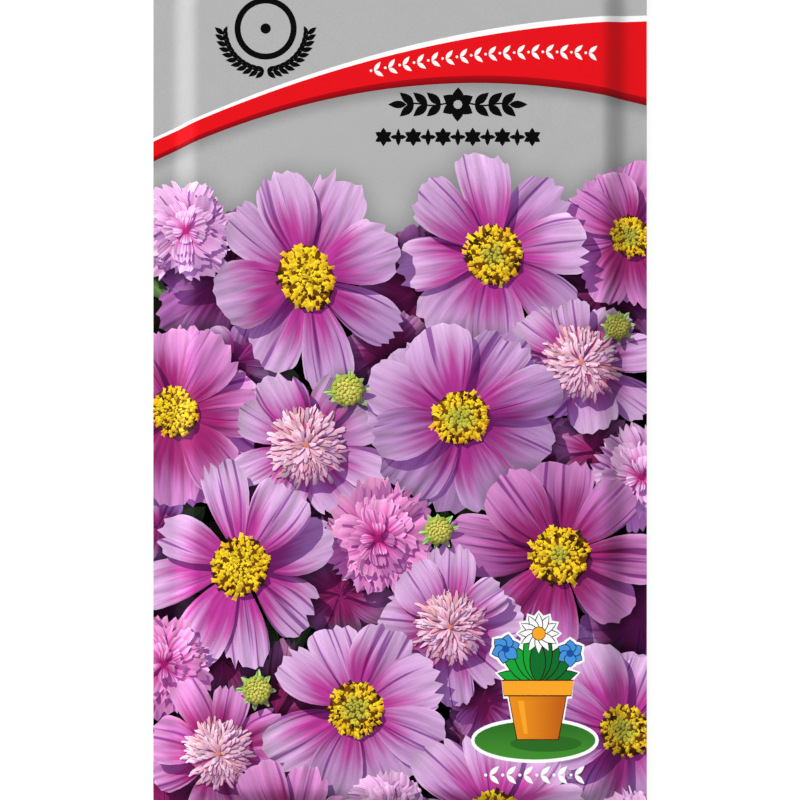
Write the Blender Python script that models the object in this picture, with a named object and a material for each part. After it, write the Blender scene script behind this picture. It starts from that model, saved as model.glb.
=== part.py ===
"""A sealed paper seed packet, lying on its back, with the loose seeds it holds.

Two laminated paper sheets are heat-sealed to each other round all four edges.
The seal is flat, and inside it the front sheet rises and the back sheet drops
to make a shallow pocket, where the seeds lie on the back sheet.

Frame: X to the right across the front, Y towards the packet's top edge, Z out
of the front face. The origin is the middle of the flat face it rests on.
"""

import math
import random

import bmesh
import bpy
from mathutils import Vector

MM = 0.001

# The cut sheets
PACKET_WIDTH = 90 * MM
PACKET_HEIGHT = 165 * MM
SHEET = 0.15 * MM  # paper with its outer film and inner sealing layer

# The flat seals round the pocket, measured in from each edge
SIDE_SEAL = 3.0 * MM
TOP_SEAL = 5.5 * MM
BOTTOM_SEAL = 3.0 * MM

# The pocket
SLOPE = 5.8 * MM  # width of the band where the sheets part
CORNER_RADIUS = 9.0 * MM  # of the pocket's outline, just inside the seal
FRONT_RISE = 1.9 * MM
FRONT_CROWN = 0.3 * MM  # extra height in the middle of the front
BACK_DROP = 1.0 * MM
SHARP_ANGLE = math.radians(40)  # edges that turn further than this stay crisp

# How finely the sheets are cut into faces
SLOPE_STEPS = 6
WIDTH_STEPS = 6
HEIGHT_STEPS = 10

# The seeds: slender curved achenes with a beak
SEED_COUNT = 48
SEED_LENGTH = (8.5 * MM, 11.5 * MM)
SEED_THICKNESS = 1.25 * MM
SEED_BEND = (0.08, 0.18)  # rise of the arc as a share of the length
SEED_RINGS = 9
SEED_SIDES = 6
SEED_BEAK = 0.24  # share of the length that is the thin beak
SEED_BASE_GIRTH = 0.34  # thickness at the base and where the beak starts, as a share
SEED_TIP_GIRTH = 0.20  # thickness at the beak's tip, as a share
SEED_BELLY_SHIFT = 0.85  # under 1, the thickest place is nearer the base
SEED_FULLNESS = 0.7  # under 1, the body stays thick for more of its length
SEED_REST_GAP = 0.3 * MM  # from the back sheet's inner face
SEED_SPACING = 0.5 * MM  # least gap between two seeds
SEED_BED = (-70 * MM, -8 * MM)  # they have slid towards the bottom seal
SEED_BED_PEAK = -56 * MM  # where they lie most thickly
SEED_BED_HALF_WIDTH = 31 * MM
RANDOM_SEED = 11

# Levels, worked out from the sizes above. The two sheets meet at SEAL_PLANE.
SEAL_PLANE = BACK_DROP + SHEET
POCKET_HALF_WIDTH = PACKET_WIDTH / 2 - SIDE_SEAL
POCKET_TOP = PACKET_HEIGHT / 2 - TOP_SEAL
POCKET_BOTTOM = -PACKET_HEIGHT / 2 + BOTTOM_SEAL
POCKET_MIDDLE = (POCKET_TOP + POCKET_BOTTOM) / 2
POCKET_HALF_HEIGHT = (POCKET_TOP - POCKET_BOTTOM) / 2


def clear_scene():
    """Removes whatever the opened file holds."""
    for obj in list(bpy.data.objects):
        bpy.data.objects.remove(obj)


def make_material(name, colour, roughness, metallic=0.0):
    """A Principled material; colour is linear red, green and blue."""
    material = bpy.data.materials.new(name)
    material.use_nodes = True
    shader = material.node_tree.nodes["Principled BSDF"]
    shader.inputs["Base Color"].default_value = (*colour, 1.0)
    shader.inputs["Roughness"].default_value = roughness
    shader.inputs["Metallic"].default_value = metallic
    return material


def distance_into_pocket(x, y):
    """How far (x, y) lies inside the pocket's rounded outline; negative in the seal."""
    across = abs(x) - (POCKET_HALF_WIDTH - CORNER_RADIUS)
    along = abs(y - POCKET_MIDDLE) - (POCKET_HALF_HEIGHT - CORNER_RADIUS)
    corner = math.hypot(max(across, 0.0), max(along, 0.0))
    return CORNER_RADIUS - corner - min(max(across, along), 0.0)


def pocket_lift(x, y):
    """How far the sheets have parted at (x, y), from 0 in the seal to 1 inside.

    The paper leaves the seal softly and is steepest half way up.
    """
    share = min(max(distance_into_pocket(x, y) / SLOPE, 0.0), 1.0)
    return share ** 3 * (10 - 15 * share + 6 * share ** 2)


def front_height(x, y):
    """Height of the front sheet's inner face."""
    crown_across = 1 - min(abs(x) / POCKET_HALF_WIDTH, 1.0) ** 2
    crown_along = 1 - min(abs(y - POCKET_MIDDLE) / POCKET_HALF_HEIGHT, 1.0) ** 2
    rise = FRONT_RISE + FRONT_CROWN * crown_across * crown_along
    return SEAL_PLANE + rise * pocket_lift(x, y)


def back_height(x, y):
    """Height of the back sheet's inner face."""
    return SEAL_PLANE - BACK_DROP * pocket_lift(x, y)


def stations(low, high, low_seal, high_seal, middle_steps):
    """Grid lines from low to high: the cut edges, the seals, the slopes, the middle."""
    first = low + low_seal
    last = high - high_seal
    lines = [low]
    lines += [first + SLOPE * step / SLOPE_STEPS for step in range(SLOPE_STEPS + 1)]
    inner = last - first - 2 * SLOPE
    lines += [first + SLOPE + inner * step / middle_steps for step in range(1, middle_steps)]
    lines += [last - SLOPE * step / SLOPE_STEPS for step in range(SLOPE_STEPS, -1, -1)]
    lines.append(high)
    return lines


def skin(mesh, columns, rows, height, upward):
    """One face of a sheet, cut into triangles. Returns its grid of vertices."""
    grid = [[mesh.verts.new((x, y, height(x, y))) for x in columns] for y in rows]
    for row in range(len(rows) - 1):
        for column in range(len(columns) - 1):
            corners = [
                grid[row][column],
                grid[row][column + 1],
                grid[row + 1][column + 1],
                grid[row + 1][column],
            ]
            # Both skins of a sheet split each square along the same diagonal.
            for triangle in ((0, 1, 2), (0, 2, 3)):
                order = triangle if upward else reversed(triangle)
                mesh.faces.new([corners[index] for index in order])
    return grid


def rim(grid):
    """The skin's outer vertices, in order round the sheet, anticlockwise from above."""
    bottom = grid[0][:-1]
    right = [row[-1] for row in grid[:-1]]
    top = list(reversed(grid[-1][1:]))
    left = [row[0] for row in reversed(grid[1:])]
    return bottom + right + top + left


def make_sheet(name, upper, lower, material):
    """One sheet of the packet, between its upper and lower faces."""
    columns = stations(
        -PACKET_WIDTH / 2, PACKET_WIDTH / 2, SIDE_SEAL, SIDE_SEAL, WIDTH_STEPS
    )
    rows = stations(
        -PACKET_HEIGHT / 2, PACKET_HEIGHT / 2, BOTTOM_SEAL, TOP_SEAL, HEIGHT_STEPS
    )
    mesh = bmesh.new()
    top = rim(skin(mesh, columns, rows, upper, upward=True))
    bottom = rim(skin(mesh, columns, rows, lower, upward=False))
    for index, corner in enumerate(top):
        following = (index + 1) % len(top)
        mesh.faces.new([corner, bottom[index], bottom[following], top[following]])
    return finish(name, mesh, material)


def finish(name, mesh, material):
    """Turns a bmesh into a smooth-shaded object with its material."""
    data = bpy.data.meshes.new(name)
    mesh.to_mesh(data)
    mesh.free()
    data.materials.append(material)
    data.shade_smooth()
    data.set_sharp_from_angle(angle=SHARP_ANGLE)
    obj = bpy.data.objects.new(name, data)
    bpy.context.scene.collection.objects.link(obj)
    return obj


def seed_line(length, bend, share):
    """A point on a seed's curved centre line; share runs from base to beak tip."""
    along = (share - 0.5) * length
    across = bend * length * (1 - (2 * share - 1) ** 2)
    return Vector((along, across, 0.0))


def seed_side(length, bend, share):
    """The direction across a seed's centre line, in the plane that it bends in."""
    ahead = Vector((length, -4 * bend * length * (2 * share - 1), 0.0))
    return Vector((-ahead.y, ahead.x, 0.0)).normalized()


def seed_girth(share):
    """The seed's thickness along its line, as a share of the thickest."""
    beak_start = 1 - SEED_BEAK
    if share > beak_start:
        taper = (share - beak_start) / SEED_BEAK
        return SEED_BASE_GIRTH + (SEED_TIP_GIRTH - SEED_BASE_GIRTH) * taper
    belly = math.sin(math.pi * (share / beak_start) ** SEED_BELLY_SHIFT) ** SEED_FULLNESS
    return SEED_BASE_GIRTH + (1 - SEED_BASE_GIRTH) * belly


def make_seed(name, place, turn, length, bend, material):
    """One seed, lofted round its curved line."""
    mesh = bmesh.new()
    rings = []
    for index in range(SEED_RINGS):
        share = index / (SEED_RINGS - 1)
        centre = seed_line(length, bend, share)
        side = seed_side(length, bend, share)
        radius = SEED_THICKNESS / 2 * seed_girth(share)
        ring = []
        for corner in range(SEED_SIDES):
            angle = math.tau * (corner + 0.5) / SEED_SIDES
            offset = side * math.cos(angle) + Vector((0, 0, 1)) * math.sin(angle)
            ring.append(mesh.verts.new(centre + offset * radius))
        rings.append(ring)
    for first, second in zip(rings, rings[1:]):
        for corner in range(SEED_SIDES):
            following = (corner + 1) % SEED_SIDES
            mesh.faces.new(
                [first[corner], second[corner], second[following], first[following]]
            )
    mesh.faces.new(rings[0])
    mesh.faces.new(list(reversed(rings[-1])))
    bmesh.ops.recalc_face_normals(mesh, faces=mesh.faces)
    obj = finish(name, mesh, material)
    obj.location = place
    obj.rotation_euler = (0, 0, turn)
    return obj


def seed_footprint(x, y, turn, length, bend):
    """Points along a seed's line as it lies in the packet."""
    cosine = math.cos(turn)
    sine = math.sin(turn)
    points = []
    for index in range(SEED_RINGS):
        local = seed_line(length, bend, index / (SEED_RINGS - 1))
        points.append((x + cosine * local.x - sine * local.y, y + sine * local.x + cosine * local.y))
    return points


def in_bed(points):
    """True if a seed lies wholly on the flat of the back sheet, in the seed bed."""
    return all(
        abs(x) < SEED_BED_HALF_WIDTH and SEED_BED[0] < y < SEED_BED[1] for x, y in points
    )


def clear_of(points, others):
    """True if a seed keeps its spacing from all the seeds already laid."""
    least = SEED_THICKNESS + SEED_SPACING
    return all(
        math.hypot(x - u, y - v) > least for x, y in points for other in others for u, v in other
    )


def scatter_seeds():
    """Where each seed lies: (x, y, turn, length, bend), none touching another."""
    draw = random.Random(RANDOM_SEED)
    placed = []
    footprints = []
    while len(placed) < SEED_COUNT:
        x = draw.uniform(-SEED_BED_HALF_WIDTH, SEED_BED_HALF_WIDTH)
        # The bed is fuller towards the bottom seal.
        y = draw.triangular(SEED_BED[0], SEED_BED[1], SEED_BED_PEAK)
        turn = draw.uniform(0, math.tau)
        length = draw.uniform(*SEED_LENGTH)
        bend = draw.uniform(*SEED_BEND)
        points = seed_footprint(x, y, turn, length, bend)
        if in_bed(points) and clear_of(points, footprints):
            placed.append((x, y, turn, length, bend))
            footprints.append(points)
    return placed


def make_seeds(material):
    """The loose seeds, in one layer on the back sheet."""
    level = SHEET + SEED_REST_GAP + SEED_THICKNESS / 2
    for index, (x, y, turn, length, bend) in enumerate(scatter_seeds()):
        make_seed(f"seed_{index + 1:02d}", (x, y, level), turn, length, bend, material)


def main():
    clear_scene()
    printed_paper = make_material("printed_paper", (0.445, 0.445, 0.445), 0.35)
    back_paper = make_material("back_paper", (0.82, 0.82, 0.80), 0.45)
    seed_coat = make_material("seed_coat", (0.045, 0.028, 0.018), 0.65)
    make_sheet(
        "front_sheet",
        lambda x, y: front_height(x, y) + SHEET,
        front_height,
        printed_paper,
    )
    make_sheet(
        "back_sheet",
        back_height,
        lambda x, y: back_height(x, y) - SHEET,
        back_paper,
    )
    make_seeds(seed_coat)


main()
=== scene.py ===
"""The looks of a sealed paper seed packet: its printed sheets, its seeds and a small studio.

The print is not an image. Every printed shape is an outline, the flat sheet is cut into triangles
along all of them, and each triangle takes its ink from the shape that lies on top there. The
sheet is then raised to the packet's pillowed form. Lengths in the artwork are millimetres on the
flat sheet, x to the right and y up, from the middle of the packet.
"""

import math
import random
from types import SimpleNamespace

import bpy
import numpy as np
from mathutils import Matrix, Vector
from mathutils.geometry import delaunay_2d_cdt


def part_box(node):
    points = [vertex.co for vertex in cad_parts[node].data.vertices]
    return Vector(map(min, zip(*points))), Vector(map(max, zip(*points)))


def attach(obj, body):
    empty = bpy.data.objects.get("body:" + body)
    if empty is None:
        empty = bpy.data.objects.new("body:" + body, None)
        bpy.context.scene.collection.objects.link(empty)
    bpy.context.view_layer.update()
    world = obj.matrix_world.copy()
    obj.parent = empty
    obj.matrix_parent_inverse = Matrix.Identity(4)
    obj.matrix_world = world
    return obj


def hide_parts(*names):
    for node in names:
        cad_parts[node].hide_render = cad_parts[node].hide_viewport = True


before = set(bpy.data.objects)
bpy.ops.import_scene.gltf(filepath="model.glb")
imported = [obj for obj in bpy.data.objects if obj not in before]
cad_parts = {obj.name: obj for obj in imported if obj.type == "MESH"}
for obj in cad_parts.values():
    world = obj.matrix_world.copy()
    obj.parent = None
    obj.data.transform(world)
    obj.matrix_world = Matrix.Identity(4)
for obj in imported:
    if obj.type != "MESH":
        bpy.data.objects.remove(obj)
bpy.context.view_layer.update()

MM = 0.001

# The packet's form, as its construction has it
sheet_low, sheet_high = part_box("front_sheet")
WIDTH = (sheet_high.x - sheet_low.x) / MM
HEIGHT = (sheet_high.y - sheet_low.y) / MM
SHEET = 0.15
SIDE_SEAL = 3.0
TOP_SEAL = 5.5
BOTTOM_SEAL = 3.0
SLOPE = 5.8
CORNER_RADIUS = 9.0
FRONT_RISE = 1.9
FRONT_CROWN = 0.3
BACK_DROP = 1.0
PUCKERS = 4  # small folds round each corner
PUCKER_DEPTH = 0.11
SEAL_PLANE = BACK_DROP + SHEET
POCKET_HALF_WIDTH = WIDTH / 2 - SIDE_SEAL
POCKET_TOP = HEIGHT / 2 - TOP_SEAL
POCKET_BOTTOM = -HEIGHT / 2 + BOTTOM_SEAL
POCKET_MIDDLE = (POCKET_TOP + POCKET_BOTTOM) / 2
POCKET_HALF_HEIGHT = (POCKET_TOP - POCKET_BOTTOM) / 2

# How finely the sheets are cut
PICTURE_PITCH = 0.9
HALO_PITCH = 1.1  # in the printed shade just above the picture
SLOPE_PITCH = 1.0
PLAIN_PITCH = 2.4
BORDER_PITCH = 1.2
EDGE_PITCH = 0.8  # the longest outline piece where the sheet is curved
INNER_MARGIN = 1.6
ROW_STEP = 0.866  # between the rows of a grid of even triangles, in pitches
MERGE = 1e-5
NO_AREA = 1e-12
PICTURE_TOP = 39.0
HALO_TOP = 62.0
BEYOND = 1  # how far full-bleed print runs past the cut edge

# The light in the printed picture: low sun from the upper left, and blue sky
SUN = np.array((-0.50, 0.60, 0.62))
SUN_INK = np.array((0.68, 0.80, 0.62))
SKY_INK = np.array((0.33, 0.195, 0.47))
RELIEF = 0.7  # how far a form's slope changes the sunlight on it
DIMMEST, BRIGHTEST = 0.1, 1.22
SHADOWED_RELIEF = 0.15  # how far ribs still show where a shadow is cast
IN_SHADOW = 0.06  # what a cast shadow leaves of the sun
UNDIMMED = 0.4  # the share of the sun that soft shade doesn't reach
CLOSE_SHADE, WIDE_SHADE = 0.13, 0.045  # for each mm that the surroundings stand higher
CLOSE_REACH, WIDE_REACH, HALO_REACH = 1.1, 3.2, 2.0
SHADE_CELL = 0.4  # raster step of the soft shade
HALO_SHADE = 0.55  # how much the printed shade round the flowers takes from the silver
SASH_SHADE, SASH_SHADE_REACH = 0.34, 3.0  # the same for the shade under the sash

LEAVES = 90
GOLDEN_ANGLE = 2.39996  # how a flower's florets follow each other round
FLORETS = 190
BUD_SCALES = 46
TUFT_SHARE = 0.46  # the tuft's part of its flower
LOT_STEP = 0.618  # keeps the line pattern of neighbouring shapes apart

# What the photograph shows of the packet's height
PHOTO_SPAN = 145.9
PHOTO_MIDDLE = -3.8


def linear(code):
    """An sRGB hex colour as linear red, green and blue."""
    parts = np.array([int(code[index:index + 2], 16) / 255 for index in (1, 3, 5)])
    return np.where(parts <= 0.04045, parts / 12.92, ((parts + 0.055) / 1.055) ** 2.4)


def smooth(low, high, value):
    """0 below low, 1 above high, and an even S between them. Low may be the larger."""
    share = np.clip((value - low) / (high - low), 0, 1)
    return share * share * (3 - 2 * share)


def mix(first, second, share):
    """Colours between two, one for each share."""
    share = np.asarray(share, float).reshape(-1, 1)
    return first * (1 - share) + second * share


# The form of the packet

def distance_into_pocket(x, y):
    """How far (x, y) lies inside the pocket's rounded outline; negative in the seal."""
    across = np.abs(x) - (POCKET_HALF_WIDTH - CORNER_RADIUS)
    along = np.abs(y - POCKET_MIDDLE) - (POCKET_HALF_HEIGHT - CORNER_RADIUS)
    corner = np.hypot(np.maximum(across, 0), np.maximum(along, 0))
    return CORNER_RADIUS - corner - np.minimum(np.maximum(across, along), 0)


def pocket_lift(x, y):
    """How far the sheets have parted at (x, y), from 0 in the seal to 1 inside."""
    share = np.clip(distance_into_pocket(x, y) / SLOPE, 0, 1)
    return share ** 3 * (10 - 15 * share + 6 * share ** 2)


def pucker(x, y):
    """Small folds that fan out round each corner of the pocket, where flat paper must gather."""
    across = np.maximum(np.abs(x) - (POCKET_HALF_WIDTH - CORNER_RADIUS), 0)
    along = np.maximum(np.abs(y - POCKET_MIDDLE) - (POCKET_HALF_HEIGHT - CORNER_RADIUS), 0)
    reach = np.hypot(across, along)
    turn = np.arctan2(along, across)
    foot, crest, middle = CORNER_RADIUS, CORNER_RADIUS - SLOPE, CORNER_RADIUS - SLOPE / 2
    on_slope = smooth(crest, middle, reach) * smooth(foot, middle, reach)
    folds = np.cos(4 * PUCKERS * turn + np.sign(x) + 2 * np.sign(y))
    return PUCKER_DEPTH * folds * on_slope * np.sin(2 * turn)


def front_height(x, y):
    """Height of the front sheet's inner face."""
    crown_across = 1 - np.minimum(np.abs(x) / POCKET_HALF_WIDTH, 1) ** 2
    crown_along = 1 - np.minimum(np.abs(y - POCKET_MIDDLE) / POCKET_HALF_HEIGHT, 1) ** 2
    rise = FRONT_RISE + FRONT_CROWN * crown_across * crown_along
    return SEAL_PLANE + rise * pocket_lift(x, y) + pucker(x, y)


def back_height(x, y):
    """Height of the back sheet's inner face."""
    return SEAL_PLANE - BACK_DROP * pocket_lift(x, y) + 0.5 * pucker(x, y)


def inside(points, outline):
    """Which points lie inside a closed outline."""
    x = points[:, 0][:, None]
    y = points[:, 1][:, None]
    x0, y0 = outline.T
    x1, y1 = np.roll(outline, -1, axis=0).T
    crosses = (y0 > y) != (y1 > y)
    rise = np.where(y1 == y0, 1.0, y1 - y0)
    left_of = x < x0 + (y - y0) * (x1 - x0) / rise
    return (crosses & left_of).sum(1) % 2 == 1


class Spots:
    """Points sorted by height on the page, so that those in a shape's reach are found quickly."""

    def __init__(self, points):
        self.points = np.asarray(points, float)
        self.order = np.argsort(self.points[:, 1], kind="stable")
        self.heights = self.points[self.order, 1]

    def within(self, outline):
        """Indices of the points inside the outline."""
        low, high = outline.min(0), outline.max(0)
        first, last = np.searchsorted(self.heights, (low[1], high[1]))
        near = self.order[first:last]
        across = self.points[near, 0]
        near = near[(across >= low[0]) & (across <= high[0])]
        return near[inside(self.points[near], outline)] if len(near) else near


# Printed shapes

class Shape:
    """One printed shape. Later shapes in the artwork cover earlier ones."""

    flower = 0  # the flower it belongs to
    level = 0.0  # how high its subject stood in the picture
    near_fall = None  # where its shadow falls on its own flower
    far_fall = None  # where its shadow falls on what is further down
    finish = "graphics"
    streak = 0.0  # how strongly fine lines run along it

    def __init__(self, outline, colour=None):
        self.outline = np.asarray(outline, float)
        self.colour = colour

    def set(self, **facts):
        """Sets some facts of the shape, and gives it back."""
        self.__dict__.update(facts)
        return self

    def place(self, points):
        """Where points lie in the shape's own frame, along and across."""
        return points

    def grain(self, points):
        """What the fine lines of the shape follow: length in mm, and share to the side."""
        return self.place(points)

    def cross_sun(self):
        return 0.0

    def throat(self, points):
        return np.full(len(points), -1.0)

    def throat_tint(self):
        return np.ones(3)

    def height(self, points):
        return np.zeros(len(points))

    def tint(self, points):
        if callable(self.colour):
            return self.colour(points)
        return np.tile(self.colour, (len(points), 1))


class Stance:
    """Where a pictured flower stands on the page, and how it leans away from the viewer."""

    def __init__(self, x, y, lean=0.0, towards=0.0):
        axis = np.array((math.cos(towards), math.sin(towards)))
        self.middle = np.array((x, y), float)
        self.squash = np.eye(2) - (1 - math.cos(lean)) * np.outer(axis, axis)
        self.unsquash = np.linalg.inv(self.squash)
        self.slope = -math.tan(lean) * axis

    def to_page(self, flat):
        return self.middle + flat @ self.squash.T

    def to_flat(self, points):
        return (points - self.middle) @ self.unsquash.T


class Petal(Shape):
    """A petal: a blade that widens to a blunt toothed tip, with shallow lengthwise pleats."""

    finish = "picture"
    streak = 1.0
    start = 0.0  # where the blade starts, from the flower's middle
    widest = 0.8
    claw = 0.9  # larger is narrower towards the foot
    square = 2.3  # larger is a blunter tip
    teeth, notch = 4, 0.05
    bend, twist = 0.0, 0.0
    rise, droop, camber = 0.20, 0.24, 0.10
    pleats, pleat = 3, 0.05
    paleness = 0.0  # how far its rim fades to near white
    flush = 0.5  # how far up the throat colour reaches
    steps = 18

    def __init__(self, stance, turn, length, half_width, colours, draw, **form):
        self.set(stance=stance, length=length, half_width=half_width, colours=colours, **form)
        self.phases = [draw.uniform(0, math.tau) for _ in range(4)]
        self.lightness = draw.uniform(0.92, 1.06)
        cosine, sine = math.cos(turn), math.sin(turn)
        self.page_turn = np.array(((cosine, -sine), (sine, cosine)))
        super().__init__(self.trace())

    def spread(self, share):
        """Half the blade's width at a share of its length, before the tip closes it."""
        rising = np.clip(share / self.widest, 0.0, 1)
        return self.half_width * np.sin(math.pi / 2 * rising) ** self.claw

    def trace(self):
        """The outline on the page."""
        foot = np.linspace(0, self.widest, 3 + self.steps // 5, endpoint=False)
        sweep = np.linspace(0, math.pi, self.steps)
        power = 2 / self.square
        side = np.sign(np.cos(sweep)) * np.abs(np.cos(sweep)) ** power
        tip = self.widest + (1 - self.widest) * np.sin(sweep).clip(0, 1) ** power
        lobes = 1 - np.abs((self.teeth * side / 2 + self.phases[0]) % 1 - 0.5) * 2
        uneven = 1 + 0.6 * np.sin(3 * side + self.phases[1])
        tip = tip - self.notch * (1 - lobes) * uneven * smooth(self.widest, 0.97, tip)
        along = np.concatenate((foot, tip, foot[:0:-1]))
        half = self.spread(foot)
        across = np.concatenate((half, self.half_width * side, -half[:0:-1]))
        across = across + self.bend * self.length * along ** 2
        local = np.stack((self.length * along + self.start, across), axis=1)
        return self.stance.to_page(local @ self.page_turn.T)

    def place(self, points):
        local = self.stance.to_flat(points) @ self.page_turn
        along = local[:, 0] - self.start
        across = local[:, 1] - self.bend * along ** 2 / self.length
        return np.stack((along, across), axis=1)

    def blade(self, points):
        """How far along the blade points lie, as a share, and how far to its sides."""
        along, across = self.place(points).T
        share = along / self.length
        return share, np.clip(across / (self.spread(share) + 0.25), -1.2, 1.2)

    def grain(self, points):
        share, side = self.blade(points)
        return np.stack((share * self.length, side), axis=1)

    def throat(self, points):
        """How far inside the coloured throat points lie, in shares of the petal's length."""
        share, side = self.blade(points)
        return self.flush + 0.07 * np.sin(4 * side + self.phases[2]) - share

    def cross_sun(self):
        """How much of the sun comes from the blade's right side."""
        return float(SUN[:2] @ self.stance.squash @ self.page_turn[:, 1]) / self.half_width

    def height(self, points):
        share, side = self.blade(points)
        ridge = np.cos(self.pleats * math.pi * side + self.phases[2]) * smooth(0.1, 0.5, share)
        return (
            self.length * (self.rise * share - self.droop * share ** 2)
            - self.camber * self.half_width * side ** 2
            + self.twist * self.half_width * side * share
            + self.pleat * ridge
            + (points - self.stance.middle) @ self.stance.slope
        )

    def tint(self, points):
        share, side = self.blade(points)
        tip, body, _ = self.colours
        edge = smooth(0.45, 1.0, share) * 0.75 + 0.45 * side ** 6
        blade = mix(body, tip, np.clip(edge, 0, 1))
        pale = self.paleness * np.maximum(smooth(0.86, 1.0, np.abs(side)), smooth(0.93, 1.0, share))
        return mix(blade, Palette.rim, pale) * self.lightness

    def throat_tint(self):
        return self.colours[2] * self.lightness


def sunlit(shape, points):
    """Sunlight on a pictured form, 1 where it lies flat."""
    step = 0.1
    right, up = np.array((step, 0.0)), np.array((0.0, step))
    slope_x = (shape.height(points + right) - shape.height(points - right)) / (2 * step)
    slope_y = (shape.height(points + up) - shape.height(points - up)) / (2 * step)
    facing = SUN[2] - slope_x * SUN[0] - slope_y * SUN[1]
    full = facing / np.sqrt(1 + slope_x ** 2 + slope_y ** 2) / SUN[2]
    return np.clip(1 + RELIEF * (full - 1), DIMMEST, BRIGHTEST)


class Dome(Shape):
    """A small round form: a floret of a flower's disc, a bud or a pompon's middle."""

    finish = "picture"

    def __init__(self, outline, colour, middle, radius, bulge, under=None):
        super().__init__(outline, colour)
        self.middle = np.asarray(middle, float)
        self.radius = radius
        self.bulge = bulge
        self.under = under  # the larger dome that it sits on

    def height(self, points):
        out = np.linalg.norm(points - self.middle, axis=1) / self.radius
        rise = self.bulge * (1 - np.minimum(out, 1.2) ** 2)
        return rise if self.under is None else rise + self.under.height(points)

    def place(self, points):
        return points - self.middle


# Flowers of the printed picture

INK_CODES = dict(
    rim="#E6CFE2", lilac_tip="#D0ADCE", lilac="#BB84B8", magenta="#A81C80", rose_tip="#D592C4",
    rose="#B860A4", deep_rose="#96125F", pink_tip="#EBC2E0", pink="#D688C2",
    deep_pink="#C22A78", hot_tip="#EFA8D2", hot="#DC62AE", hot_root="#B81470",
    plum_tip="#B673B2", plum="#9C5296", deep_plum="#761458", shell_tip="#F3DAE2",
    shell="#EFB4C8", shell_root="#B65082", blush="#E2A3A6", salmon="#D9805E", bud="#93A53C",
    bud_tip="#D9D95A", pollen="#F7D51E", pollen_rim="#EBA416", floret_bud="#A9B43C",
    disc_gap="#6E4208", disc_rim="#4A2A10", anther="#3A2606", leaf="#7FB455",
    leaf_rib="#B4D488", dark_leaf="#35602C", gap="#1D1813", silver="#AAAAAA", red="#DE0512",
    dark_red="#7E0008", black="#0C0C0C", white="#F4F4F4", panel="#EDEDE8", print_grey="#55575A",
    pale_grey="#C9CBCC", grass="#3F8A2C", grass_shade="#2C6A22", bright_leaf="#10A036",
    deep_leaf="#0B6E2C", clay="#E58A14", clay_rim="#F3A224", clay_shade="#B8560E",
    line_brown="#2A1408", sky_blue="#3F8FD8", deep_blue="#174F9E",
)
Palette = SimpleNamespace(**{name: linear(code) for name, code in INK_CODES.items()})

# Petal colours: tip, blade and throat
LILAC = (Palette.lilac_tip, Palette.lilac, Palette.magenta)
ROSE = (Palette.rose_tip, Palette.rose, Palette.deep_rose)
PINK = (Palette.pink_tip, Palette.pink, Palette.deep_pink)
HOT = (Palette.hot_tip, Palette.hot, Palette.hot_root)
PLUM = (Palette.plum_tip, Palette.plum, Palette.deep_plum)
SHELL = (Palette.shell_tip, Palette.shell, Palette.shell_root)
WARM_SHELL = (Palette.shell, Palette.blush, Palette.salmon)
SEPAL = (Palette.leaf_rib, Palette.leaf, Palette.leaf)


def circle(x, y, radius, steps, draw=None, jitter=0.0):
    """A closed ring of points, rough if it has a jitter."""
    ring = []
    for index in range(steps):
        angle = math.tau * index / steps
        reach = radius * (1 + (draw.uniform(-jitter, jitter) if draw else 0))
        ring.append((x + reach * math.cos(angle), y + reach * math.sin(angle)))
    return np.array(ring)


def floret_outline(x, y, radius, turn, draw):
    """An opened floret: a short tube with uneven points, seen more or less from its side."""
    stretch = draw.choice((1.0, 1.15, 1.5, 1.9))
    angles = [math.tau * index / 8 for index in range(8)]
    reaches = [radius * draw.uniform(*((0.58, 0.82), (1.0, 1.42))[index % 2]) for index in range(8)]
    along = np.array([reach * stretch * math.cos(angle) for reach, angle in zip(reaches, angles)])
    across = np.array([reach * math.sin(angle) for reach, angle in zip(reaches, angles)])
    return turned(along, across, x, y, turn)


def disc(stance, radius, level, flower, draw):
    """The yellow middle of a flower: packed florets over a brown ground."""
    unopened = draw.choice((0.0, 0.12, 0.22, 0.34))
    rim = stance.to_page(circle(0, 0, 1.08 * radius, 34, draw, 0.06))
    foot = Dome(rim, Palette.disc_rim, stance.middle, radius, 0.5)
    top = stance.to_page(circle(0, 0, radius, 30, draw, 0.08))
    bowl = Dome(top, Palette.disc_gap, stance.middle, radius, 1.1)
    shapes = [
        foot.set(flower=flower, level=level - 0.3),
        bowl.set(flower=flower, level=level, near_fall=(0.9, -1.1)),
    ]
    for index in range(FLORETS):
        share = (index + 0.5) / FLORETS
        reach = radius * math.sqrt(share) * draw.uniform(1.0, 1.14)
        angle = index * GOLDEN_ANGLE + draw.uniform(-0.3, 0.3)
        size = radius * (0.062 + 0.026 * share) * draw.uniform(0.75, 1.25)
        spot = stance.to_page(np.array((reach * math.cos(angle), reach * math.sin(angle))))
        ink = mix(Palette.pollen, Palette.pollen_rim, [draw.uniform(0, 0.9) * share])[0]
        ink = ink * draw.choice((0.62, 0.82, 0.95, 1.05, 1.12))
        if share < unopened:
            opening = draw.uniform(0.3, 1) * share / unopened
            ink = mix(Palette.floret_bud, Palette.pollen, [opening])[0]
            outline = circle(*spot, 1.2 * size, 7, draw, 0.12)
        else:
            outline = floret_outline(*spot, size, angle + draw.uniform(-0.6, 0.6), draw)
        if share > 0.4 and draw.random() < 0.17:
            ink = Palette.anther
        floret = Dome(outline, ink, spot, size, 0.22, bowl)
        shapes.append(floret.set(flower=flower, level=level + 0.5))
    return shapes


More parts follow.
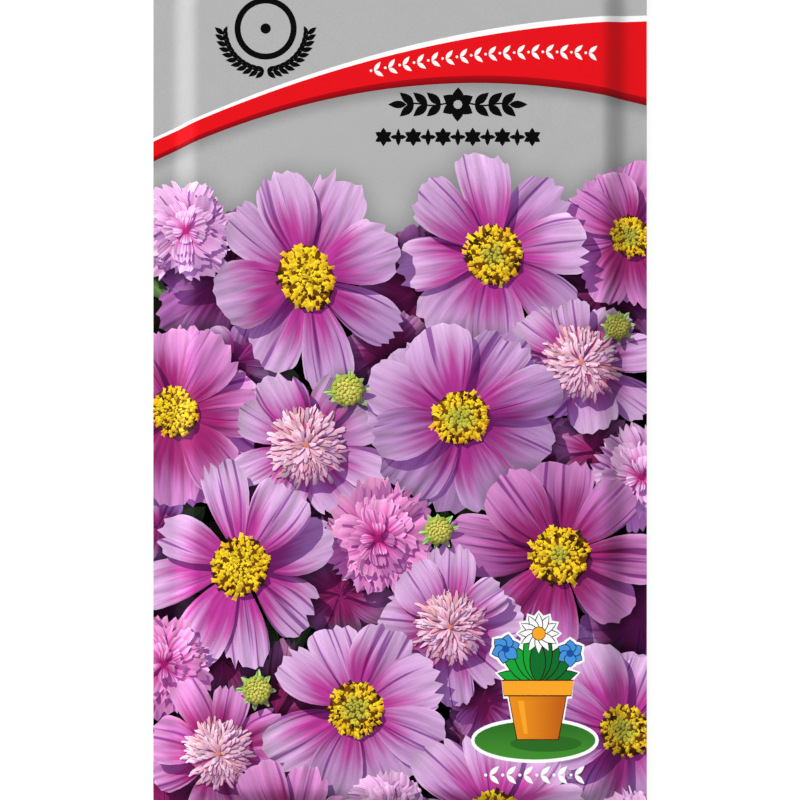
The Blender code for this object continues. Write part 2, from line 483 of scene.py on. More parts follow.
def rays(stance, radius, flower, level, draw, colours, rows, count=8):
    """Broad ray petals in one or two rows."""
    start = draw.uniform(0, math.tau)
    fullness = draw.uniform(0.84, 1.04)
    shapes = []
    for row in range(rows):
        order = list(range(0, count, 2)) + list(range(1, count, 2))
        draw.shuffle(order)
        for place, index in enumerate(order):
            turn = start + math.tau * (index + 0.5 * row) / count + draw.uniform(-0.10, 0.10)
            length = radius * draw.uniform(0.86, 1.06)
            half = radius * fullness * draw.uniform(0.74, 1.08) * math.pi * 0.84 / count
            petal = Petal(
                stance, turn, length, half, colours, draw,
                widest=draw.uniform(0.66, 0.84), claw=draw.uniform(0.95, 1.35) / fullness,
                square=draw.uniform(1.9, 2.8), teeth=draw.choice((4, 5, 6)),
                notch=draw.uniform(0.04, 0.12), bend=draw.uniform(-0.10, 0.10),
                camber=draw.uniform(-0.12, 0.22), droop=draw.uniform(0.08, 0.40),
                rise=draw.uniform(0.06, 0.26), pleats=draw.choice((2, 3)),
                pleat=draw.uniform(0.02, 0.07), flush=draw.uniform(0.46, 0.66),
                twist=draw.uniform(-0.30, 0.30), paleness=draw.uniform(0.1, 0.6),
            )
            fall = draw.choice((0.6, 0.9, 1.3, 1.8, 2.8))
            shapes.append(petal.set(
                flower=flower, level=level + 0.8 * row + 0.12 * place,
                near_fall=(0.8 * fall, -fall), far_fall=(2.7, -3.3),
            ))
    return shapes


def broad_bloom(x, y, radius, flower, seed, colours, lean=0.0, towards=0.0, low=False):
    """A single flower with broad petals round a yellow disc."""
    draw = random.Random(seed)
    stance = Stance(x, y, lean, towards)
    level = (1 + 0.3 * flower) if low else (5 + 0.55 * flower)
    shapes = rays(stance, radius, flower, level, draw, colours, draw.choice((1, 1, 2)))
    if low:
        return shapes
    return shapes + disc(stance, 0.25 * radius, level + 2.2, flower, draw)


def tufted_bloom(x, y, radius, flower, seed, colours, lean, towards):
    """A flower whose middle is a ball of fine narrow petals, over a ring of broad ones."""
    draw = random.Random(seed)
    level = 5 + 0.55 * flower
    shapes = rays(Stance(x, y, lean, towards), radius, flower, level, draw, colours, 1)
    ball = radius * TUFT_SHARE
    core = Dome(circle(x, y, 0.82 * ball, 26, draw, 0.12), Palette.shell_root, (x, y), ball, 1.5)
    shapes.append(core.set(flower=flower, level=level + 1.9, near_fall=(2.0, -2.4)))
    counts = (40, 38, 35, 31, 26, 20, 13, 8, 4)
    for ring, count in enumerate(counts):
        inward = ring / len(counts)
        for index in range(count):
            turn = math.tau * (index + 0.5 * (ring % 2)) / count + draw.uniform(-0.18, 0.18)
            length = ball * (0.52 - 0.18 * inward) * draw.uniform(0.75, 1.2)
            tip = ball * (1.03 - 0.88 * inward) * draw.uniform(0.88, 1.10)
            inks = draw.choice((SHELL, SHELL, WARM_SHELL))
            petal = Petal(
                Stance(x, y), turn, length, ball * draw.uniform(0.028, 0.056), inks, draw,
                start=tip - length, steps=4, widest=draw.uniform(0.6, 0.9), square=1.6, teeth=1,
                notch=draw.uniform(0.0, 0.25), pleat=0.0, camber=0.3, rise=0.5,
                droop=0.1 + 0.7 * (1 - inward), flush=0.24, bend=draw.uniform(-0.35, 0.35),
            )
            shapes.append(petal.set(
                lightness=draw.choice((0.66, 0.84, 0.96, 1.04, 1.10)), streak=0.2,
                flower=flower, level=level + 2 + 0.7 * ring, near_fall=(0.20, -0.25),
            ))
    heart = Dome(circle(x, y, 0.07 * ball, 9, draw, 0.3), Palette.salmon, (x, y), 1.0, 0.2)
    return shapes + [heart.set(flower=flower, level=level + 6)]


def frilled_bloom(x, y, radius, flower, seed, colours):
    """A full flower: rows of toothed petals from one middle, the inner ones shorter."""
    draw = random.Random(seed)
    level = 5 + 0.55 * flower
    shapes = []
    for row, (count, reach) in enumerate(((9, 1.0), (8, 0.84), (7, 0.66), (6, 0.46), (4, 0.28))):
        for index in range(count):
            turn = math.tau * (index + 0.5 * (row % 2)) / count + draw.uniform(-0.22, 0.22)
            length = radius * reach * draw.uniform(0.86, 1.12)
            petal = Petal(
                Stance(x, y), turn, length, length * draw.uniform(0.32, 0.46), colours, draw,
                steps=24, widest=draw.uniform(0.74, 0.86), square=2.6, claw=1.25,
                teeth=draw.choice((4, 5, 6)), notch=draw.uniform(0.10, 0.22), pleats=2,
                twist=draw.uniform(-0.6, 0.6), paleness=draw.uniform(0.3, 1.0),
                pleat=0.08, camber=draw.uniform(-0.4, 0.4), rise=draw.uniform(0.2, 0.7),
                droop=draw.uniform(0.2, 0.7), flush=draw.uniform(0.36, 0.52),
                bend=draw.uniform(-0.25, 0.25),
            )
            petal.lightness = draw.uniform(0.82, 1.10)
            fall = draw.choice((0.35, 0.6, 0.9))
            shapes.append(petal.set(
                flower=flower, level=level + 0.9 * row, near_fall=(0.8 * fall, -fall),
                far_fall=(1.8, -2.2) if row == 0 else None,
            ))
    heart = Dome(circle(x, y, 0.07 * radius, 9, draw, 0.3), Palette.deep_rose, (x, y), 1.0, 0.2)
    return shapes + [heart.set(flower=flower, level=level + 6)]


def bud(x, y, radius, flower, seed):
    """A green bud that starts to open, on its ring of narrow sepals."""
    draw = random.Random(seed)
    level = 5 + 0.55 * flower
    shapes = []
    for index in range(8):
        turn = math.tau * index / 8 + draw.uniform(-0.2, 0.2)
        sepal = Petal(
            Stance(x, y), turn, radius * draw.uniform(1.2, 1.6), radius * 0.26, SEPAL, draw,
            widest=0.5, square=1.4, notch=0.0, pleat=0.0, steps=8, flush=-1.0,
        )
        shapes.append(sepal.set(
            flower=flower, level=level, near_fall=(0.3, -0.35), far_fall=(1.0, -1.2),
        ))
    ball = Dome(circle(x, y, radius, 22, draw, 0.05), Palette.bud, (x, y), radius, 1.2)
    shapes.append(ball.set(flower=flower, level=level + 1, near_fall=(0.5, -0.6)))
    size = radius * 0.14
    for index in range(BUD_SCALES):
        share = (index + 0.5) / BUD_SCALES
        reach, angle = radius * math.sqrt(share) * 0.94, index * GOLDEN_ANGLE
        spot = (x + reach * math.cos(angle), y + reach * math.sin(angle))
        ink = mix(Palette.bud_tip, Palette.bud, [share ** 2])[0] * draw.uniform(0.8, 1.15)
        scale = Dome(circle(*spot, size, 7, draw, 0.3), ink, spot, size, 0.2, ball)
        shapes.append(scale.set(flower=flower, level=level + 1.5, near_fall=(0.12, -0.15)))
    return shapes


def leaf(x, y, turn, length, half_width, level, seed, dark):
    """A pointed leaf with a pale midrib."""
    draw = random.Random(seed)
    green = mix(Palette.leaf, Palette.dark_leaf, [dark])[0]
    pale = mix(Palette.leaf_rib, Palette.dark_leaf, [dark])[0]
    bend = draw.uniform(-0.16, 0.16)
    blade_form = dict(widest=0.42, square=1.35, camber=0.5, steps=10)
    rib_form = dict(widest=0.3, square=1.5, camber=0.0, steps=7)
    shapes = []
    for reach, half, inks, form in (
        (length, half_width, (green, green * 1.1, green * 0.9), blade_form),
        (length * 0.94, 0.20, (pale, pale, pale), rib_form),
    ):
        petal = Petal(
            Stance(x, y), turn, reach, half, inks, draw, bend=bend, pleat=0.0, notch=0.0,
            flush=-1.0, **form,
        )
        shapes.append(petal.set(level=level, streak=0.6))
    shapes[0].set(near_fall=(0.5, -0.6))
    return shapes


def picture():
    """The flower picture that fills the lower three quarters of the front."""
    edge_x, edge_y = WIDTH / 2 + BEYOND, HEIGHT / 2 + BEYOND
    ground = Shape(
        [(-edge_x, -edge_y), (edge_x, -edge_y), (edge_x, 20), (30, 27), (12, 22), (-6, 26),
         (-24, 21), (-edge_x, 24)],
        Palette.gap,
    )
    shapes = [ground.set(finish="picture", level=-4.0)]
    draw = random.Random(5)
    for index in range(LEAVES):
        x, y = draw.uniform(-45, 45), draw.uniform(-82, 22)
        shapes += leaf(
            x, y, draw.uniform(0, math.tau), draw.uniform(9, 17), draw.uniform(1.2, 2.8),
            -1.0, index, draw.uniform(0.0, 0.95),
        )
    under = (
        (-31, 18, 15, PLUM), (3, 15, 16, ROSE), (37, 16, 15, PLUM), (-26, -10, 15, PLUM),
        (24, -16, 15, ROSE), (-44, -38, 15, PLUM), (-8, -22, 14, PLUM), (44, -44, 14, PLUM),
        (11, -42, 15, PLUM), (-23, -62, 15, ROSE), (17, -70, 15, PLUM), (-43, -78, 14, ROSE),
        (-11, -39, 10, ROSE), (-32, -51, 9, ROSE), (15, -58, 10, ROSE), (35, -13, 9, ROSE),
        (-2, 5, 10, ROSE), (28, -50, 9, LILAC), (-30, 3, 10, LILAC), (-44, -27, 9, LILAC),
    )
    for number, (x, y, radius, colours) in enumerate(under, 1):
        pick = random.Random(number)
        lean, towards = pick.uniform(0.3, 0.8), pick.uniform(0, math.tau)
        seed = 40 + number
        shapes += broad_bloom(x, y, radius, number, seed, colours, lean, towards, low=True)
    flowers = (
        (frilled_bloom, -39, 27, 9.5, PINK), (broad_bloom, 42, 26, 14.0, ROSE),
        (broad_bloom, 17, 22.5, 19.5, LILAC), (broad_bloom, -17, 18.5, 22.0, LILAC),
        (tufted_bloom, 33, 3, 16.0, LILAC), (broad_bloom, -41, -6, 17.0, ROSE),
        (frilled_bloom, 44, -18, 9.5, PINK), (tufted_bloom, -17, -12, 16.5, LILAC),
        (broad_bloom, 11, -7, 19.0, LILAC), (frilled_bloom, -4, -29, 11.0, HOT),
        (broad_bloom, 29, -32, 20.0, ROSE), (broad_bloom, -29, -34, 20.0, LILAC),
        (tufted_bloom, 9, -45, 15.0, LILAC), (frilled_bloom, -43, -52, 9.5, HOT),
        (broad_bloom, 41, -64, 18.0, LILAC), (tufted_bloom, -33, -68, 14.5, ROSE),
        (broad_bloom, -8, -60, 18.5, LILAC), (broad_bloom, 17, -80, 19.0, LILAC),
        (broad_bloom, -20, -86, 17.0, ROSE), (frilled_bloom, 43, -84, 10.0, PINK),
        (frilled_bloom, -2, -79, 8.5, PINK), (bud, -9.5, -2.0, 2.9), (bud, 7.0, -27.5, 2.5),
        (bud, -26.0, -56.5, 2.6), (bud, 39.5, 9.5, 2.3),
    )
    for number, (kind, x, y, radius, *colours) in enumerate(flowers, len(under) + 1):
        seed = 100 + number
        pick = random.Random(seed)
        stand = (pick.uniform(0.1, 0.62), pick.uniform(0, math.tau))
        leans = kind in (broad_bloom, tufted_bloom)
        shapes += kind(x, y, radius, number, seed, *colours, *(stand if leans else ()))
    return shapes


# Plain printed graphics

def turned(along, across, x, y, turn):
    """Points of a frame that starts at (x, y) and is turned."""
    cosine, sine = math.cos(turn), math.sin(turn)
    return np.stack((x + along * cosine - across * sine, y + along * sine + across * cosine), 1)


def oval(x, y, half_width, half_height, steps=24):
    """A closed ring of points, wider or taller than a circle."""
    sweep = np.linspace(0, math.tau, steps, endpoint=False)
    return np.stack((x + half_width * np.cos(sweep), y + half_height * np.sin(sweep)), axis=1)


def rounded(left, bottom, right, top, radius, steps=6):
    """A rectangle with round corners."""
    ring = []
    corners = ((right, top), (left, top), (left, bottom), (right, bottom))
    for quarter, (x, y) in enumerate(corners):
        x += -radius if x == right else radius
        y += -radius if y == top else radius
        for step in range(steps + 1):
            angle = math.pi / 2 * (quarter + step / steps)
            ring.append((x + radius * math.cos(angle), y + radius * math.sin(angle)))
    return np.array(ring)


def leaf_mark(x, y, turn, length, width):
    """A small pointed leaf that starts at (x, y)."""
    share = np.linspace(0, 1, 7)
    half = width / 2 * np.sin(math.pi * share ** 0.85)
    along = np.concatenate((share, share[-2:0:-1])) * length
    across = np.concatenate((half, -half[-2:0:-1]))
    return turned(along, across, x, y, turn)


def stroke(points, width):
    """A line of even width through points on a smooth curve."""
    points = np.asarray(points, float)
    ahead = np.gradient(points, axis=0)
    ahead /= np.linalg.norm(ahead, axis=1)[:, None]
    side = ahead[:, ::-1] * (-1, 1) * width / 2
    return np.concatenate((points + side, (points - side)[::-1]))


def outset(outline, amount):
    """An outline moved outwards."""
    ahead = np.roll(outline, -1, axis=0) - np.roll(outline, 1, axis=0)
    ahead /= np.linalg.norm(ahead, axis=1)[:, None] + 1e-9
    x, y = outline.T
    area = (x * np.roll(y, -1) - y * np.roll(x, -1)).sum()
    return outline + ahead[:, ::-1] * (1, -1) * math.copysign(amount, area)


def blossom_mark(x, y, radius, petals, turn=0.0, width=0.8):
    """The petals of a small flower sign."""
    return [
        leaf_mark(x, y, turn + math.tau * index / petals, radius, radius * width)
        for index in range(petals)
    ]


def whole_sheet():
    """An even silver ground over the sheet."""
    x, y = WIDTH / 2 + BEYOND, HEIGHT / 2 + BEYOND
    return Shape([(-x, -y), (x, -y), (x, y), (-x, y)], Palette.silver)


def arch(apex_x, apex_y, edge_y):
    """A curve across the front: its highest point, and its height at the left edge."""
    fall = (apex_y - edge_y) / (apex_x + WIDTH / 2) ** 2
    return lambda x: apex_y - fall * (np.asarray(x, float) - apex_x) ** 2


SASH_TOP = arch(50.0, 65.65, 43.65)
SASH_BOTTOM = arch(14.0, 53.75, 39.65)


def band(upper, lower, steps=70):
    """The region between two curves, over the full width of the sheet."""
    x = np.linspace(-WIDTH / 2 - BEYOND, WIDTH / 2 + BEYOND, steps)
    top = np.stack((x, upper(x)), axis=1)
    bottom = np.stack((x, lower(x)), axis=1)
    return np.concatenate((bottom, top[::-1]))


def fold_line(x):
    """Where the sash turns over its lower edge."""
    return SASH_BOTTOM(x) + 0.9 + 0.5 * smooth(-45, 30, np.asarray(x, float))


def fold_ink(points):
    """The sash's turned edge, darkest at its foot."""
    x, y = points.T
    share = (y - SASH_BOTTOM(x)) / (fold_line(x) - SASH_BOTTOM(x))
    return mix(Palette.dark_red, Palette.dark_red * 1.9, np.clip(share, 0, 1))


def garland(middle, start, end, pitch, size, ink):
    """Pairs of small leaves along a curve, with dots between them."""
    shapes = []
    for x in np.arange(start, end, pitch):
        y = float(middle(x))
        along = math.atan2(float(middle(x + 0.1)) - y, 0.1)
        for side in (0.75, -0.75):
            leaf_x = x - 0.1 * size
            shapes.append(Shape(leaf_mark(leaf_x, y, along + side, 0.68 * size, 0.26 * size), ink))
        shapes.append(Shape(circle(x - 0.30 * size, y, 0.085 * size, 8), ink))
    return shapes


def sash():
    """A red band over the front, with a white upper edge and a turned lower one."""
    def white_edge(x):
        return SASH_TOP(x) + 0.25 + 0.45 * smooth(-45, 30, np.asarray(x, float))

    def middle(x):
        return (SASH_TOP(x) + fold_line(x)) / 2

    return [
        Shape(band(white_edge, SASH_BOTTOM), Palette.white),
        Shape(band(lambda x: SASH_TOP(x) - 0.35, fold_line), Palette.red),
        Shape(band(fold_line, SASH_BOTTOM), fold_ink),
    ] + garland(middle, -4.4, 37.0, 2.6, 2.9, Palette.white)


def ring_sign(x, y):
    """A ring with a dot in it, over a wreath of leaves."""
    shapes = [
        Shape(circle(x, y, 5.65, 56), Palette.black),
        Shape(circle(x, y, 4.55, 52), Palette.silver).set(finish="silver"),
        Shape(circle(x, y, 0.95, 18), Palette.black),
    ]
    for way in (1, -1):
        sweep = [math.radians(270 + way * turn) for turn in range(2, 85, 8)]
        stem = [(x + 7.7 * math.cos(turn), y + 7.7 * math.sin(turn)) for turn in sweep]
        shapes.append(Shape(stroke(stem, 0.32), Palette.black))
        for spot, turn in zip(stem, sweep):
            ahead = turn + way * math.pi / 2
            for tilt, length, width in ((-0.75, 2.1, 0.95), (0.55, 1.7, 0.75)):
                mark = leaf_mark(*spot, ahead + way * tilt, length, width)
                shapes.append(Shape(mark, Palette.black))
    return shapes


def sprig(x, y, half_length, size, ink):
    """Two branches with leaves of that size, which grow from a small flower to both sides."""
    shapes = []
    for way in (1, -1):
        facing = 0 if way > 0 else math.pi
        run = np.linspace(0, half_length - 0.8 * size, 12)
        stem = np.stack((x + way * run, y + 0.06 * size * np.sin(run)), axis=1)
        shapes.append(Shape(stroke(stem, 0.30), ink))
        for reach in np.arange(0.9 * size, half_length - 0.7 * size, 0.72 * size):
            for side in (0.70, -0.70):
                mark = leaf_mark(x + way * reach, y, facing + way * side, size, 0.46 * size)
                shapes.append(Shape(mark, ink))
        shapes.append(Shape(leaf_mark(stem[-1][0], y, facing, size, 0.42 * size), ink))
    shapes += [Shape(mark, ink) for mark in blossom_mark(x, y, 0.92 * size, 6, 0.5, 0.7)]
    return shapes + [Shape(circle(x, y, 0.24 * size, 10), Palette.silver)]


def title_ornament(x, y):
    """Two dark ornamental rows."""
    shapes = sprig(x, y + 3.2, 12.0, 3.4, Palette.black)
    for index in range(11):
        spot = x - 13.5 + 2.7 * index
        if index % 2:
            marks = [leaf_mark(spot, y - 4.3, math.pi / 2, 3.2, 1.0)]
            marks += [leaf_mark(spot, y - 2.7, way, 1.5, 0.8) for way in (0.0, math.pi)]
        else:
            marks = blossom_mark(spot, y - 2.7, 1.7, 6, math.pi / 6, 0.62)
        shapes += [Shape(mark, Palette.black) for mark in marks]
    return shapes


def pot_ink(points):
    """Fired clay, shaded towards the right."""
    share = smooth(20.5, 31.5, points[:, 0])
    return mix(Palette.clay, Palette.clay_shade, share)


def grass_ink(points):
    """Grass that lightens towards its near edge."""
    share = smooth(-61.5, -69.0, points[:, 1])
    return mix(Palette.grass_shade, Palette.grass, share)


def pot_emblem():
    """A clay pot with a leafy plant and small flowers, on a patch of grass."""
    x, foot = 25.0, -65.4
    fills = [(oval(24.5, -65.6, 11.0, 3.5, 40), grass_ink, 0.0)]
    pot = np.array(((21.3, foot), (28.7, foot), (30.4, -56.4), (19.6, -56.4)))
    rim = np.array(((18.9, -57.4), (31.1, -57.4), (31.5, -54.8), (18.5, -54.8)))
    turns = (0.25, 2.90, 0.62, 2.50, 0.98, 2.15, 1.30, 1.84, 1.57)
    for index, turn in enumerate(turns):
        ink = Palette.bright_leaf if index % 2 else Palette.deep_leaf
        length = 7.0 + 1.6 * math.sin(turn)
        fills.append((leaf_mark(x, -55.2, turn, length, 2.7), ink, 0.2))
    fills += [(pot, pot_ink, 0.22), (rim, Palette.clay_rim, 0.22)]
    for flower_x, flower_y, radius in ((19.2, -49.0, 2.6), (30.9, -49.8, 2.4)):
        for mark in blossom_mark(flower_x, flower_y, radius, 6, flower_x, 0.85):
            fills.append((mark, Palette.sky_blue, 0.16))
        fills.append((circle(flower_x, flower_y, 0.7, 10), Palette.deep_blue, 0.0))
    for mark in blossom_mark(25.2, -46.2, 3.6, 12, 0.0, 0.36):
        fills.append((mark, Palette.white, 0.16))
    fills.append((circle(25.2, -46.2, 1.15, 16), Palette.clay_rim, 0.14))
    shapes = [Shape(outset(outline, 0.62), Palette.white) for outline, _, _ in fills]
    shapes.append(Shape(oval(26.5, -66.2, 6.5, 1.5), Palette.grass_shade))
    shapes.insert(len(fills), Shape(fills[0][0], grass_ink))
    for outline, ink, line in fills[1:]:
        if line:
            shapes.append(Shape(outset(outline, line), Palette.line_brown))
        shapes.append(Shape(outline, ink))
    glint = np.array(((21.4, -58.4), (22.5, -58.4), (23.2, -64.4), (22.5, -64.4)))
    shapes.append(Shape(glint, Palette.clay_rim))
    return shapes + garland(lambda x: -71.9 + 0 * x, 16.6, 34.6, 3.1, 3.5, Palette.white)


def front_artwork():
    """The front's print, from the ground up."""
    ground = [whole_sheet().set(finish="silver")]
    header = sash() + ring_sign(-24.4, 63.65) + title_ornament(10.5, 46.65)
    return ground + header + picture() + pot_emblem()


# The printed back

DIGITS = {
    "0": ((0.5, 0), (0.15, 0.2), (0.05, 0.8), (0.15, 1.4), (0.5, 1.6), (0.85, 1.4), (0.95, 0.8),
          (0.85, 0.2), (0.5, 0)),
    "1": ((0.2, 1.25), (0.55, 1.6), (0.55, 0)),
    "2": ((0.05, 1.25), (0.2, 1.5), (0.55, 1.6), (0.85, 1.4), (0.85, 1.05), (0.05, 0), (0.95, 0)),
    "3": ((0.1, 1.6), (0.85, 1.6), (0.45, 0.98), (0.8, 0.85), (0.92, 0.45), (0.7, 0.08), (0.35, 0),
          (0.05, 0.15)),
    "4": ((0.65, 0), (0.65, 1.6), (0.0, 0.5), (0.95, 0.5)),
    "5": ((0.85, 1.6), (0.2, 1.6), (0.12, 0.9), (0.55, 1.0), (0.88, 0.75), (0.88, 0.3), (0.5, 0),
          (0.05, 0.12)),
    "6": ((0.75, 1.6), (0.3, 1.15), (0.08, 0.6), (0.2, 0.12), (0.5, 0), (0.85, 0.2), (0.88, 0.6),
          (0.55, 0.85), (0.15, 0.65)),
    "7": ((0.05, 1.6), (0.92, 1.6), (0.35, 0)),
    "8": ((0.5, 0.85), (0.15, 1.2), (0.5, 1.6), (0.85, 1.2), (0.5, 0.85), (0.08, 0.4), (0.5, 0),
          (0.92, 0.4), (0.5, 0.85)),
    "9": ((0.25, 0), (0.7, 0.45), (0.92, 1.0), (0.8, 1.48), (0.5, 1.6), (0.15, 1.4), (0.12, 1.0),
          (0.45, 0.75), (0.85, 0.95)),
}


def number(value, x, y, size, ink):
    """Plain figures, centred on (x, y)."""
    shapes = []
    text = str(value)
    for place, figure in enumerate(text):
        left = x + (place - len(text) / 2) * 1.25 * size + 0.12 * size
        points = [(left + px * size, y + (py - 0.8) * size) for px, py in DIGITS[figure]]
        pieces = [stroke(ends, 0.20 * size) for ends in zip(points, points[1:])]
        pieces += [circle(px, py, 0.10 * size, 6) for px, py in points]
        shapes += [Shape(piece, ink) for piece in pieces]
    return shapes


def text_block(left, top, width, rows, seed, row_pitch=2.3, height=0.95):
    """Rows of short bars that stand for printed lines of words."""
    draw = random.Random(seed)
    shapes = []
    for row in range(rows):
        x = left
        end = left + width * (draw.uniform(0.35, 0.7) if row == rows - 1 else 1)
        y = top - row * row_pitch
        while x < end - 1.5:
            word = min(draw.uniform(1.6, 6.4), end - x)
            shapes.append(Shape(rounded(x, y - height, x + word, y, 0.25, 1), Palette.print_grey))
            x += word + 0.9
    return shapes


def icon_tile(x, y, kind):
    """A round sign: a sun, a drop, a seedling or a spacing rule."""
    marks = []  # each an outline, and whether it is white
    if kind == "sun":
        marks.append((circle(x, y, 1.7, 20), True))
        for index in range(8):
            turn = math.tau * index / 8
            ends = [(x + r * math.cos(turn), y + r * math.sin(turn)) for r in (2.3, 3.9)]
            marks.append((stroke(ends, 0.55), True))
    elif kind == "drop":
        sweep = np.linspace(0, math.tau, 28, endpoint=False)
        half = 2.1 * np.sin(sweep) * np.sin(sweep / 2) ** 1.4
        marks.append((np.stack((x + half, y + 0.2 + 3.0 * np.cos(sweep)), axis=1), True))
    elif kind == "seedling":
        marks.append((stroke([(x, y - 3.6), (x, y - 1.2), (x, y + 0.9)], 0.6), True))
        for turn in (0.65, math.pi - 0.65):
            marks.append((leaf_mark(x, y + 0.5, turn, 3.6, 1.7), True))
    else:
        marks.append((stroke(((x - 3.4, y - 2.2), (x + 3.4, y - 2.2)), 0.5), True))
        for side in (-2.6, 0.0, 2.6):
            marks.append((circle(x + side, y + 1.0, 1.0, 12), True))
            marks.append((circle(x + side, y + 1.0, 0.4, 8), False))
            marks.append((stroke(((x + side, y), (x + side, y - 2.2)), 0.4), True))
    tile = Palette.bright_leaf
    shapes = [Shape(circle(x, y, 5.6, 40), tile)]
    return shapes + [Shape(mark, Palette.white if white else tile) for mark, white in marks]


def calendar(left, top):
    """Twelve numbered months, with the sowing and flowering ones marked."""
    shapes = []
    wide, high = 6.1, 5.6
    sowing, flowering = (4, 5), (7, 8, 9, 10)
    for month in range(1, 13):
        x = left + (month - 1) * wide
        tint = Palette.pale_grey if month % 2 else Palette.white
        shapes.append(Shape(rounded(x, top - high, x + wide, top, 0.01, 1), tint))
        shapes += number(month, x + wide / 2, top - high / 2, 1.35, Palette.black)
    marked = ((sowing, Palette.bright_leaf), (flowering, Palette.lilac))
    for row, (months, ink) in enumerate(marked):
        for month in months:
            x = left + (month - 1) * wide
            y = top - high - 1.0 - 3.2 * row
            shapes.append(Shape(rounded(x + 0.3, y - 2.4, x + wide - 0.3, y, 0.8, 3), ink))
    return shapes


def back_artwork():
    """The back as its reader sees it."""
    shapes = [
        whole_sheet(),
        Shape(rounded(-38.5, 58.5, 38.5, 73.5, 2.5), Palette.red),
        Shape(rounded(-38.5, 58.5, 38.5, 60.2, 0.8), Palette.dark_red),
    ]
    shapes += garland(lambda x: 66.8 + 0 * x, -31.0, 33.0, 5.6, 6.4, Palette.white)
    shapes.append(Shape(rounded(-38.5, -74.5, 38.5, 56.5, 3.0), Palette.panel))
    shapes += sprig(-14.0, 48.5, 19.0, 4.0, Palette.black)
    shapes += text_block(-34.5, 40.5, 41.0, 9, 1)
    shapes.append(Shape(oval(23.0, 40.0, 12.6, 13.6, 48), Palette.pale_grey))
    shapes.append(Shape(oval(23.0, 40.0, 12.0, 13.0, 48), Palette.panel))
    shapes += broad_bloom(23.0, 40.0, 11.5, 1, 77, LILAC, 0.15, 0.6)
    shapes += text_block(-34.5, 17.5, 69.0, 5, 2)
    for index, kind in enumerate(("sun", "drop", "seedling", "spacing")):
        shapes += icon_tile(-27.0 + 18.0 * index, -4.0, kind)
        shapes += text_block(-32.5 + 18.0 * index, -11.8, 11.0, 2, 20 + index, 2.0, 0.8)
    shapes += calendar(-36.6, -21.0)
    shapes += text_block(-34.5, -38.5, 69.0, 6, 3)
    shapes.append(Shape(rounded(-34.8, -70.3, -2.2, -56.2, 0.6), Palette.black))
    shapes.append(Shape(rounded(-34.5, -70.0, -2.5, -56.5, 0.5), Palette.white))
    return shapes + text_block(3.0, -57.0, 31.5, 6, 4, 2.2, 0.85)


# Cutting the sheet along the artwork

def blurred(values, reach):
    """A raster smoothed by a bell curve of that reach, in cells."""
    steps = np.arange(-math.ceil(2.5 * reach), math.ceil(2.5 * reach) + 1)
    bell = np.exp(-0.5 * (steps / reach) ** 2)
    bell /= bell.sum()
    for axis in (0, 1):
        pad = [(0, 0), (0, 0)]
        pad[axis] = (len(steps) // 2, len(steps) // 2)
        wide = np.pad(values, pad, mode="edge")
        values = np.apply_along_axis(lambda line: np.convolve(line, bell, "valid"), axis, wide)
    return values


